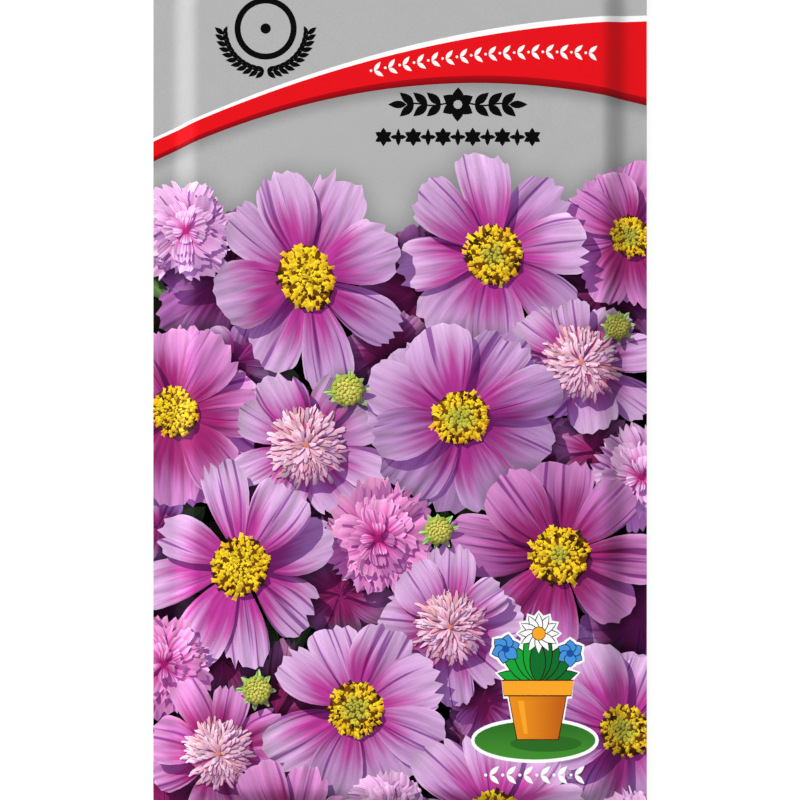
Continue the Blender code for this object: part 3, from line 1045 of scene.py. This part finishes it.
class Artwork:
    """Shapes in printing order, with what is needed to read the ink at any point."""

    def __init__(self, shapes):
        self.shapes = shapes
        self.flowers = np.array([shape.flower for shape in shapes])
        self.pictured = np.array([shape.finish == "picture" for shape in shapes])
        self.make_soft_shade()

    def top(self, points):
        """The index of the uppermost shape at each point."""
        spots = Spots(points)
        found = np.zeros(len(points), int)
        for index, shape in enumerate(self.shapes):
            found[spots.within(shape.outline)] = index
        return found

    def receives(self, caster, fall_is_near, tops):
        """Which of the uppermost shapes a caster's shadow can fall on."""
        same = self.flowers[tops] == self.flowers[caster]
        return (tops < caster) & self.pictured[tops] & (same == fall_is_near)

    def falls(self):
        """Every shadow in the picture: its caster, whether it falls near, and its outline."""
        for index, shape in enumerate(self.shapes):
            for near, fall in ((True, shape.near_fall), (False, shape.far_fall)):
                if fall:
                    yield index, near, shape.outline + np.array(fall)

    def visible_edges(self):
        """Outline pieces that show: each as its two end points."""
        outlines = [(index, None, shape.outline) for index, shape in enumerate(self.shapes)]
        outlines += list(self.falls())
        starts = np.concatenate([outline for _, _, outline in outlines])
        ends = np.concatenate([np.roll(outline, -1, axis=0) for _, _, outline in outlines])
        middles = (starts + ends) / 2
        counts = [len(outline) for _, _, outline in outlines]
        owner = np.repeat([index for index, _, _ in outlines], counts)
        kind = np.repeat([-1 if near is None else int(near) for _, near, _ in outlines], counts)
        shown = np.zeros(len(starts), bool)
        for spots in (starts, middles, ends):
            tops = self.top(spots)
            same = self.flowers[tops] == self.flowers[owner]
            lit = (tops < owner) & self.pictured[tops]
            shown |= np.where(kind < 0, tops <= owner, lit & (same == (kind == 1)))
        return starts[shown], ends[shown]

    def make_soft_shade(self):
        """A raster of the picture's depth, blurred, from which nearby forms shade each other."""
        across = np.arange(-WIDTH / 2 - 2, WIDTH / 2 + 2, SHADE_CELL)
        along = np.arange(-HEIGHT / 2 - 2, HEIGHT / 2 + 2, SHADE_CELL)
        grid = np.stack(np.meshgrid(across, along), axis=-1)
        points = grid.reshape(-1, 2)
        spots = Spots(points)
        depth = np.zeros(len(points))
        cover = np.zeros(len(points))
        for shape in self.shapes:
            within = spots.within(shape.outline)
            depth[within] = shape.level + shape.height(points[within])
            cover[within] = shape.finish == "picture"
        depth = depth.reshape(grid.shape[:2])
        cover = cover.reshape(grid.shape[:2])
        self.origin = grid[0, 0]
        self.near_depth = blurred(depth, CLOSE_REACH / SHADE_CELL)
        self.far_depth = blurred(depth, WIDE_REACH / SHADE_CELL)
        self.cover = blurred(cover, HALO_REACH / SHADE_CELL)

    def sample(self, raster, points):
        """A raster's value at points, even between its cells."""
        column, row = ((points - self.origin) / SHADE_CELL).T
        row = np.clip(row, 0, raster.shape[0] - 1.001)
        column = np.clip(column, 0, raster.shape[1] - 1.001)
        low_row, low_column = row.astype(int), column.astype(int)
        up, right = row - low_row, column - low_column
        below = raster[low_row, low_column] * (1 - right) + raster[low_row, low_column + 1] * right
        above = (
            raster[low_row + 1, low_column] * (1 - right)
            + raster[low_row + 1, low_column + 1] * right
        )
        return below * (1 - up) + above * up

    def light(self, shape, points, shadowed):
        """The light on a pictured form, as red, green and blue for each point."""
        lit = sunlit(shape, points) * np.where(shadowed, IN_SHADOW, 1.0)
        own = shape.level + shape.height(points)
        close = np.maximum(self.sample(self.near_depth, points) - own, 0)
        wide = np.maximum(self.sample(self.far_depth, points) - own, 0)
        soft = np.exp(-CLOSE_SHADE * close - WIDE_SHADE * wide)
        sun = lit * (UNDIMMED + (1 - UNDIMMED) * soft)
        return SKY_INK * soft[:, None] + SUN_INK * sun[:, None]

    def ink(self, index, points, shadowed):
        """The printed colours of one shape at some points: its blade's and its throat's."""
        shape = self.shapes[index]
        tint = shape.tint(points)
        if shape.finish == "silver":
            halo = 1 - HALO_SHADE * self.sample(self.cover, points)
            below = SASH_BOTTOM(points[:, 0]) - points[:, 1]
            under_sash = 1 - SASH_SHADE * smooth(SASH_SHADE_REACH, 0.0, below) * (below > -1)
            return tint * (halo * under_sash)[:, None], tint
        if shape.finish != "picture":
            return tint, tint
        light = self.light(shape, points, shadowed)
        return tint * light, shape.throat_tint() * light


def hexagonal(pitch, low_y, high_y):
    """Evenly spaced points over the sheet's width, between two heights."""
    rows = int((high_y - low_y) / (pitch * ROW_STEP)) + 1
    points = []
    for row in range(rows):
        y = low_y + row * pitch * ROW_STEP
        x = np.arange(-WIDTH / 2 + pitch * (0.5 + 0.5 * (row % 2)), WIDTH / 2 - 0.2 * pitch, pitch)
        points.append(np.stack((x, np.full(len(x), y)), axis=1))
    return np.concatenate(points)


def plain_dots(low_y, high_y):
    """Points where the sheet is only bent: close on the slopes, wide apart elsewhere."""
    fine = hexagonal(SLOPE_PITCH, low_y, high_y)
    depth = distance_into_pocket(*fine.T)
    fine = fine[(depth > -1.5) & (depth < SLOPE + 1.5)]
    wide = hexagonal(PLAIN_PITCH, low_y, high_y)
    depth = distance_into_pocket(*wide.T)
    return np.concatenate((fine, wide[(depth < -1.5) | (depth > SLOPE + 1.5)]))


def border(pitch):
    """Points round the cut edge of the sheet, anticlockwise."""
    half = np.array((WIDTH / 2, HEIGHT / 2))
    corners = [half * sign for sign in ((-1, -1), (1, -1), (1, 1), (-1, 1))]
    points = []
    for first, last in zip(corners, corners[1:] + corners[:1]):
        steps = max(2, round(np.linalg.norm(last - first) / pitch))
        points += [first + (last - first) * step / steps for step in range(steps)]
    return np.array(points)


def follow_slopes(starts, ends):
    """Splits long outline pieces where the sheet is curved, so that they bend with it."""
    run = ends - starts
    depths = np.stack([
        distance_into_pocket(*(starts + share * run).T) for share in (0.0, 0.25, 0.5, 0.75, 1.0)
    ])
    curved = ((depths > -0.5) & (depths < SLOPE + 1.0)).any(0)
    count = np.where(curved, np.ceil(np.linalg.norm(run, axis=1) / EDGE_PITCH), 1)
    count = np.maximum(count, 1).astype(int)
    piece = np.repeat(np.arange(len(starts)), count)
    step = np.arange(len(piece)) - np.repeat(np.cumsum(count) - count, count)
    first = starts[piece] + run[piece] * (step / count[piece])[:, None]
    last = starts[piece] + run[piece] * ((step + 1) / count[piece])[:, None]
    return first, last


def cut(border_points, dots, edges=None):
    """Triangles over the sheet, cut along the edges. Returns places, corners and old numbers."""
    points = list(map(Vector, border_points))
    count = len(points)
    links = [(index, (index + 1) % count) for index in range(count)]
    if edges is not None:
        for start, end in zip(*edges):
            links.append((len(points), len(points) + 1))
            points += [Vector(start), Vector(end)]
    points += map(Vector, dots)
    places, _, corners, old, _, _ = delaunay_2d_cdt(points, links, [], 0, MERGE, True)
    return np.array(places), np.array(corners), old


def within_sheet(points):
    """Which points lie on the sheet."""
    return (np.abs(points[:, 0]) < WIDTH / 2) & (np.abs(points[:, 1]) < HEIGHT / 2)


def facing_up(places, corners):
    """Triangles turned anticlockwise, without those of no area."""
    a, b, c = (places[corners[:, index]] for index in range(3))
    area = (b - a)[:, 0] * (c - a)[:, 1] - (b - a)[:, 1] * (c - a)[:, 0]
    corners = np.where((area < 0)[:, None], corners[:, ::-1], corners)
    return corners[np.abs(area) > NO_AREA]


def edge_loop(corners):
    """The outer edge of a set of triangles, as vertex numbers in order."""
    sides = np.concatenate((corners[:, [0, 1]], corners[:, [1, 2]], corners[:, [2, 0]]))
    known = {(a, b) for a, b in sides.tolist()}
    following = {a: b for a, b in known if (b, a) not in known}
    first = next(iter(following))
    loop = [first]
    while following[loop[-1]] != first:
        loop.append(following[loop[-1]])
    return loop


def slopes(height, x, y):
    """How steeply a height formula rises to the right and upwards."""
    step = 0.02
    return (
        (height(x + step, y) - height(x - step, y)) / (2 * step),
        (height(x, y + step) - height(x, y - step)) / (2 * step),
    )


def normals(height, points, upward):
    """The sheet's true surface direction, from its height formula."""
    across, along = slopes(height, *points.T)
    found = np.stack((-across, -along, np.ones(len(points))), axis=1)
    found /= np.linalg.norm(found, axis=1)[:, None]
    return found if upward else -found


def flat_map(places, corners, inner_places, inner_faces, rim):
    """A map of the whole piece on one square: outer face widest, then inner face, then edge."""
    margin, high = 0.003, 0.994
    outer_wide, inner_wide, inner_left = 0.80, 0.155, 0.815
    edge_left, edge_right = 0.980, 0.995
    outer_at = places[corners.ravel()] / (WIDTH, HEIGHT) + 0.5
    inner_at = inner_places[inner_faces.ravel()] / (WIDTH, HEIGHT) + 0.5
    step = np.arange(len(rim)) / len(rim)
    after = (np.arange(len(rim)) + 1) / len(rim)
    near, far = np.full(len(rim), edge_left), np.full(len(rim), edge_right)
    edge_at = np.stack((near, after, near, step, far, step, far, after), axis=1).reshape(-1, 2)
    return np.concatenate((
        outer_at * (outer_wide, high) + (margin, margin),
        inner_at * (inner_wide, high) + (inner_left, margin),
        edge_at * (1, high) + (0, margin),
    ))


def printed_face(artwork, dots):
    """The outer face: places, corners, each triangle's top shape and which ones are shadowed."""
    edges = follow_slopes(*artwork.visible_edges())
    places, corners, _ = cut(border(BORDER_PITCH), dots, edges)
    corners = facing_up(places, corners)
    corners = corners[within_sheet(places[corners].mean(1))]
    middles = places[corners].mean(1)
    tops = artwork.top(middles)
    spots = Spots(middles)
    shadowed = np.zeros(len(middles), bool)
    for caster, near, outline in artwork.falls():
        within = spots.within(outline)
        shadowed[within[artwork.receives(caster, near, tops[within])]] = True
    used = np.unique(corners)
    renumber = np.full(len(places), -1)
    renumber[used] = np.arange(len(used))
    return places[used], renumber[corners], tops, shadowed


def inner_face(rim_places):
    """The inner face: places, corners, and the place that meets each one of the outer rim."""
    dots = plain_dots(-HEIGHT / 2 + INNER_MARGIN, HEIGHT / 2 - INNER_MARGIN)
    places, corners, old = cut(rim_places, dots)
    meets = [None] * len(rim_places)
    for index, numbers in enumerate(old):
        for number in numbers:
            if number < len(rim_places):
                meets[number] = index
    return places, facing_up(places, corners), meets


def edge_directions(middles):
    """Which way the cut edge faces at some points on it."""
    across, along = np.abs(middles[:, 0]) * 2 / WIDTH, np.abs(middles[:, 1]) * 2 / HEIGHT
    out = np.zeros((len(middles), 3))
    on_side = across > along
    out[on_side, 0] = np.sign(middles[on_side, 0])
    out[~on_side, 1] = np.sign(middles[~on_side, 1])
    return out


def make_sheet(name, shapes, dots, outer, inner, upward, materials):
    """One sheet of the packet, with its artwork on its outer face.

    The outer face comes first, then the inner one, then the cut edge that joins them. The artwork
    is laid out as its reader sees it, so the sheet that faces down is turned over at the end.
    """
    flip = np.array((1 if upward else -1, 1))
    artwork = Artwork(shapes)
    places, corners, tops, shadowed = printed_face(artwork, dots)
    rim = edge_loop(corners)
    inner_places, inner_corners, inner_rim = inner_face(places[rim])
    vertices = np.concatenate((
        np.column_stack((places * flip, outer(*places.T))),
        np.column_stack((inner_places * flip, inner(*inner_places.T))),
    ))
    count = len(places)
    outer_at, inner_at = np.array(rim), np.array(inner_rim) + count
    quads = np.stack((np.roll(outer_at, -1), outer_at, inner_at, np.roll(inner_at, -1)), axis=1)
    inner_faces = inner_corners[:, ::-1] + count
    faces = corners.tolist() + inner_faces.tolist() + quads.tolist()
    mesh = bpy.data.meshes.new(name)
    mesh.from_pydata((vertices * MM).tolist(), [], faces)

    # What the materials read: for each corner of a triangle, then for each whole triangle
    loops = corners.ravel()
    ink, throat_ink = np.ones((2, len(mesh.loops), 4))
    throat = np.full(len(mesh.loops), -1.0)
    grain = np.zeros((len(mesh.loops), 2))
    streak, lot, relief = np.zeros((3, len(faces)))
    finishes = list(materials)
    slot = np.full(len(faces), finishes.index("film"))
    slot[-len(quads):] = finishes.index("edge")
    order = np.argsort(tops, kind="stable")
    bounds = np.searchsorted(tops[order], np.arange(len(shapes) + 1))
    for index, shape in enumerate(shapes):
        mine = order[bounds[index]:bounds[index + 1]]
        if not len(mine):
            continue
        at = (mine[:, None] * 3 + np.arange(3)).ravel()
        points = places[loops[at]]
        both = artwork.ink(index, points, np.repeat(shadowed[mine], 3))
        ink[at, :3], throat_ink[at, :3] = both
        throat[at] = shape.throat(points)
        grain[at] = shape.grain(points)
        streak[mine] = shape.streak
        relief[mine] = shape.cross_sun() * np.where(shadowed[mine], SHADOWED_RELIEF, 1.0)
        lot[mine] = (index * LOT_STEP) % 1
        slot[mine] = finishes.index(shape.finish)

    mesh.polygons.foreach_set("material_index", slot.astype(np.int32))
    chart = flat_map(places, corners, inner_places, inner_faces - count, rim)
    for kind, domain, entry, layers in (
        ("FLOAT_COLOR", "CORNER", "color", {"ink": ink, "throat_ink": throat_ink}),
        ("FLOAT", "CORNER", "value", {"throat": throat}),
        ("FLOAT2", "CORNER", "vector", {"along_petal": grain, "OFBake": chart}),
        ("FLOAT", "FACE", "value", {"streak": streak, "lot": lot, "relief": relief}),
    ):
        for label, values in layers.items():
            if kind == "FLOAT2":
                layer = mesh.uv_layers.new(name=label).uv
            else:
                layer = mesh.attributes.new(label, kind, domain).data
            if kind == "FLOAT_COLOR":
                values = np.clip(values, 0, 1)
            layer.foreach_set(entry, values.astype(np.float32).ravel())
    for finish in finishes:
        mesh.materials.append(materials[finish])

    by_vertex = np.concatenate((
        normals(outer, places * flip, upward), normals(inner, inner_places * flip, not upward),
    ))
    on_faces = by_vertex[np.concatenate((loops, inner_faces.ravel()))]
    on_edge = np.repeat(edge_directions(vertices[quads].mean(1)), 4, axis=0)
    mesh.shade_smooth()
    mesh.normals_split_custom_set(np.concatenate((on_faces, on_edge)).tolist())
    piece = bpy.data.objects.new(name, mesh)
    bpy.context.scene.collection.objects.link(piece)
    return piece


# Materials

def fill(tree, node, inputs):
    """Gives a node's inputs values, or links them to nodes or sockets."""
    for name, value in inputs.items():
        if isinstance(value, bpy.types.Node):
            value = value.outputs[0]
        if isinstance(value, bpy.types.NodeSocket):
            tree.links.new(value, node.inputs[name])
        else:
            node.inputs[name].default_value = value


def add(tree, kind, settings=None, inputs=None):
    """Adds a shader node. Settings are its own options."""
    node = tree.nodes.new("ShaderNode" + kind)
    for name, value in (settings or {}).items():
        setattr(node, name, value)
    fill(tree, node, inputs or {})
    return node


def new_material(name):
    """A new material, its node tree and its surface shader."""
    material = bpy.data.materials.new(name)
    material.use_nodes = True
    tree = material.node_tree
    tree.nodes.clear()
    shader = add(tree, "BsdfPrincipled")
    add(tree, "OutputMaterial", inputs={"Surface": shader})
    return material, tree, shader


def noise(tree, size, detail=3.0, roughness=0.55, stretch=(1, 1, 1)):
    """Noise over the object, with features about that many millimetres across."""
    place = add(tree, "TexCoord").outputs["Object"]
    scaled = add(tree, "Mapping", inputs={"Vector": place, "Scale": stretch})
    return add(tree, "TexNoise",
        inputs={"Vector": scaled, "Scale": 1 / (size * MM), "Detail": detail,
                "Roughness": roughness},
    )


def printed_paper(name, roughness, speck, speck_size, cloud):
    """Ink on coated paper under a clear film.

    Speck and cloud are how far the ink's lightness wanders, over speck_size and over 5 mm. The film
    follows the paper's fibre, and is itself a little wavy from laminating.
    """
    material, tree, shader = new_material(name)
    ink, throat_ink = (
        add(tree, "Attribute", {"attribute_name": label}).outputs["Color"]
        for label in ("ink", "throat_ink")
    )
    streak, lot, relief, throat = (
        add(tree, "Attribute", {"attribute_name": label}).outputs["Fac"]
        for label in ("streak", "lot", "relief", "throat")
    )
    along = add(tree, "UVMap", {"uv_map": "along_petal"})
    length, side = add(tree, "SeparateXYZ", inputs={0: along}).outputs[:2]
    own = add(tree, "Math", {"operation": "MULTIPLY"}, {0: lot, 1: 91.0})

    def lines(across, lengthwise, shift, detail):
        """Noise drawn out along the petal, from how often it varies across and lengthwise."""
        over = add(tree, "Math", {"operation": "MULTIPLY_ADD"}, {0: side, 1: across, 2: shift})
        on = add(tree, "Math", {"operation": "MULTIPLY"}, {0: length, 1: lengthwise})
        where = add(tree, "CombineXYZ", inputs={0: over, 1: on, 2: own})
        return add(tree, "TexNoise",
            inputs={"Vector": where, "Scale": 1.0, "Detail": detail, "Roughness": 0.55},
        )

    def wander(size, amount):
        """A factor that wanders about 1."""
        return add(tree, "MapRange",
            inputs={"Value": noise(tree, size, 2.0), "From Min": 0.3, "From Max": 0.7,
                    "To Min": 1 - amount, "To Max": 1 + amount},
        )

    # Ribs that the sun catches from one side, and fine veins
    left, right = (
        lines(across=2.3, lengthwise=0.05, shift=shift, detail=1.5) for shift in (-0.14, 0.14)
    )
    slope = add(tree, "Math", {"operation": "SUBTRACT"}, {0: left, 1: right})
    shine = add(tree, "Math", {"operation": "MULTIPLY"}, {0: slope, 1: relief})
    ribs = add(tree, "Math", {"operation": "MULTIPLY_ADD"}, {0: shine, 1: -13.0, 2: 1.0})
    veins = add(tree, "MapRange",
        inputs={"Value": lines(across=13.0, lengthwise=0.16, shift=3.0, detail=2.0),
                "From Min": 0.3, "From Max": 0.7, "To Min": 0.88, "To Max": 1.10},
    )
    drawn = add(tree, "Math", {"operation": "MULTIPLY"}, {0: ribs, 1: veins})
    drawn = add(tree, "Clamp", inputs={0: drawn, 1: 0.5, 2: 1.3})
    strength = add(tree, "Mix", {"data_type": "FLOAT"}, {"Factor": streak, 2: 1.0, 3: drawn})

    # The throat colour, which runs out in rays
    rays = add(tree, "Math", {"operation": "MULTIPLY_ADD"},
        {0: lines(across=6.0, lengthwise=0.08, shift=9.0, detail=2.0), 1: 0.6, 2: throat},
    )
    flushed = add(tree, "MapRange", {"interpolation_type": "SMOOTHSTEP"},
        {"Value": rays, "From Min": 0.10, "From Max": 0.56, "To Min": 0.0, "To Max": 0.92},
    )
    tinted = add(tree, "Mix", {"data_type": "RGBA"}, {"Factor": flushed, 6: ink, 7: throat_ink})
    lined = add(tree, "VectorMath", {"operation": "SCALE"},
        {0: tinted.outputs[2], "Scale": strength.outputs[0]},
    )

    # Dark valleys between pleats
    valley = add(tree, "MapRange",
        inputs={"Value": lines(across=5.2, lengthwise=0.03, shift=5.0, detail=1.0),
                "From Min": 0.385, "From Max": 0.32, "To Min": 0.0, "To Max": 1.0},
    )
    depth = add(tree, "Math", {"operation": "MULTIPLY"}, {0: valley, 1: streak})
    grooved = add(tree, "Mix", {"data_type": "RGBA", "blend_type": "MULTIPLY"},
        {"Factor": depth, 6: lined, 7: (0.46, 0.25, 0.52, 1.0)},
    )
    lay = add(tree, "Math", {"operation": "MULTIPLY"},
        {0: wander(speck_size, speck), 1: wander(5.0, cloud)},
    )
    colour = add(tree, "VectorMath", {"operation": "SCALE"}, {0: grooved.outputs[2], "Scale": lay})
    paper = add(tree, "Bump",
        inputs={"Strength": 0.35, "Distance": 0.006 * MM, "Height": noise(tree, 0.5, 4.0, 0.6)},
    )
    film = add(tree, "Bump",
        inputs={"Strength": 0.3, "Distance": 0.03 * MM, "Height": noise(tree, 4.0, 1.0),
                "Normal": paper},
    )
    fill(tree, shader, {
        "Base Color": colour, "Roughness": roughness, "IOR": 1.49, "Specular IOR Level": 0.35,
        "Normal": film,
    })
    return material


def between(tree, value, low, high, low_colour, high_colour):
    """A colour ramp between two colours as a value goes from low to high."""
    share = add(tree, "MapRange", inputs={"Value": value, "From Min": low, "From Max": high})
    return add(tree, "Mix", {"data_type": "RGBA"},
        {"Factor": share, 6: (*linear(low_colour), 1), 7: (*linear(high_colour), 1)},
    ).outputs[2]


def mottled(name, grain, colours, bump, roughness, ior):
    """A plain material whose colour and relief both follow one noise."""
    material, tree, shader = new_material(name)
    pattern = noise(tree, **grain)
    strength, distance = bump
    relief = add(tree, "Bump",
        inputs={"Strength": strength, "Distance": distance * MM, "Height": pattern},
    )
    fill(tree, shader, {
        "Base Color": between(tree, pattern, 0.3, 0.7, *colours), "Roughness": roughness,
        "IOR": ior, "Normal": relief,
    })
    return material


def seed_coat():
    """The seed's coat: dry dark brown, finely grooved and pitted, a little shiny on its ridges."""
    material, tree, shader = new_material("seed_coat")
    pits = noise(tree, 0.25, 4.0, 0.6)
    tone = between(tree, noise(tree, 1.4, 2.0), 0.35, 0.65, "#33231A", "#5B4330")
    # Darker down in the pits that the bump makes: painted shade in the hollows of the coat.
    dark = between(tree, pits, 0.35, 0.6, "#5A5A5A", "#FFFFFF")
    colour = add(tree, "Mix", {"data_type": "RGBA", "blend_type": "MULTIPLY"},
        {"Factor": 1.0, 6: tone, 7: dark},
    )
    rough = add(tree, "MapRange", inputs={"Value": pits, "To Min": 0.8, "To Max": 0.5})
    bump = add(tree, "Bump", inputs={"Strength": 0.8, "Distance": 0.06 * MM, "Height": pits})
    fill(tree, shader, {
        "Base Color": colour.outputs[2], "Roughness": rough, "IOR": 1.45, "Normal": bump,
    })
    return material


# The pieces

MATERIALS = {
    # Aluminium-flake ink, printed solid: an even cool grey. Its sparkle close up is painted: the
    # flakes are about 0.02 mm, and are drawn as lighter and darker specks ten times as coarse so
    # that they show.
    "silver": printed_paper(
        "silver_ink_under_film", roughness=0.34, speck=0.06, speck_size=0.2, cloud=0.015,
    ),
    # Four-colour halftone at 60 dots to the centimetre: soft colour with a fine rosette grain.
    "picture": printed_paper(
        "halftone_inks_under_film", roughness=0.32, speck=0.07, speck_size=1 / 6, cloud=0.02,
    ),
    # Solid line inks: dense and even, and so a little glossier, with the press's faint mottle.
    "graphics": printed_paper(
        "solid_inks_under_film", roughness=0.29, speck=0.012, speck_size=0.6, cloud=0.010,
    ),
    # The packet's lining: milky polyethylene, soft to the light, with faint flow marks.
    "film": mottled(
        "sealing_film", dict(size=3.0, detail=3.0, roughness=0.5, stretch=(1, 0.25, 1)),
        colours=("#DEDEDA", "#ECECE9"), bump=(0.3, 0.03), roughness=0.36, ior=1.51,
    ),
    # The cut edge: matt white paper fibre between two thin shiny films.
    "edge": mottled(
        "cut_paper_edge", dict(size=0.06, detail=4.0, roughness=0.65, stretch=(1, 1, 0.3)),
        colours=("#D9D5CC", "#F6F4EE"), bump=(0.6, 0.02), roughness=0.85, ior=1.45,
    ),
}


def front_dots():
    """Cutting points of the front: close under the picture, and close on the slopes above it."""
    fine = hexagonal(PICTURE_PITCH, -HEIGHT / 2 + 0.4, PICTURE_TOP)
    soft = hexagonal(HALO_PITCH, PICTURE_TOP + 0.6, HALO_TOP)
    return np.concatenate((fine, soft, plain_dots(PICTURE_TOP + 0.8, HEIGHT / 2 - 0.8)))


front = make_sheet(
    "printed_front", front_artwork(), front_dots(),
    lambda x, y: front_height(x, y) + SHEET, front_height, True, MATERIALS,
)
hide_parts("front_sheet")
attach(front, "root")

back = make_sheet(
    "printed_back", back_artwork(), plain_dots(-HEIGHT / 2 + 0.8, HEIGHT / 2 - 0.8),
    lambda x, y: back_height(x, y) - SHEET, back_height, False, MATERIALS,
)
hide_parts("back_sheet")
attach(back, "root")

coat = seed_coat()
for name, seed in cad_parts.items():
    if name.startswith("seed"):
        seed.data.materials.clear()
        seed.data.materials.append(coat)
        seed.data.shade_smooth()


# The studio

def light_table():
    """A wide white floor that glows a little, so that it stays white beside the packet."""
    mesh = bpy.data.meshes.new("floor")
    reach, under = 3.0, -0.05 * MM
    corners = [(-reach, -reach, under), (reach, -reach, under), (reach, reach, under),
               (-reach, reach, under)]
    mesh.from_pydata(corners, [], [(0, 1, 2, 3)])
    floor = bpy.data.objects.new("floor", mesh)
    bpy.context.scene.collection.objects.link(floor)
    material, tree, shader = new_material("floor_paint")
    fill(tree, shader, {
        "Base Color": (0.8, 0.8, 0.8, 1), "Roughness": 0.9, "Emission Color": (1, 1, 1, 1),
        "Emission Strength": 0.62,
    })
    mesh.materials.append(material)


def lamp(name, turn, elevation, distance, width, height, power):
    """A soft lamp aimed at the packet, turned from its left side towards its top."""
    data = bpy.data.lights.new(name, "AREA")
    data.shape = "RECTANGLE"
    data.size, data.size_y = width, height
    data.energy = power
    light = bpy.data.objects.new(name, data)
    turn, rise = math.radians(turn), math.radians(elevation)
    reach = distance * math.cos(rise)
    place = Vector((-reach * math.cos(turn), reach * math.sin(turn), distance * math.sin(rise)))
    light.location = place
    light.rotation_mode = "QUATERNION"
    light.rotation_quaternion = (-place).to_track_quat("-Z", "Y")
    bpy.context.scene.collection.objects.link(light)
    return light


def studio():
    """A low key light from the upper left, a faint gloss on the left, soft light all round."""
    light_table()
    key = lamp("key", turn=45, elevation=24, distance=5.0, width=2.0, height=3.2, power=458.0)
    key.visible_glossy = False
    card = lamp("gloss_card", turn=0, elevation=25, distance=1.2, width=0.07, height=1.2, power=1.0)
    card.visible_diffuse = False
    world = bpy.data.worlds.new("studio_air")
    world.use_nodes = True
    background = world.node_tree.nodes["Background"]
    fill(world.node_tree, background, {"Color": (1, 1, 1, 1), "Strength": 0.455})
    world.cycles_visibility.glossy = False
    bpy.context.scene.world = world


def camera():
    """A long lens straight above the packet, framed as the photograph is."""
    data = bpy.data.cameras.new("camera")
    data.lens = 120
    data.sensor_width = 36
    distance = PHOTO_SPAN * MM / 2 / (data.sensor_width / 2 / data.lens)
    eye = bpy.data.objects.new("camera", data)
    eye.location = (0, PHOTO_MIDDLE * MM, SEAL_PLANE * MM + distance)
    bpy.context.scene.collection.objects.link(eye)
    bpy.context.scene.camera = eye


studio()
camera()
bpy.context.scene.view_settings.view_transform = "Standard"
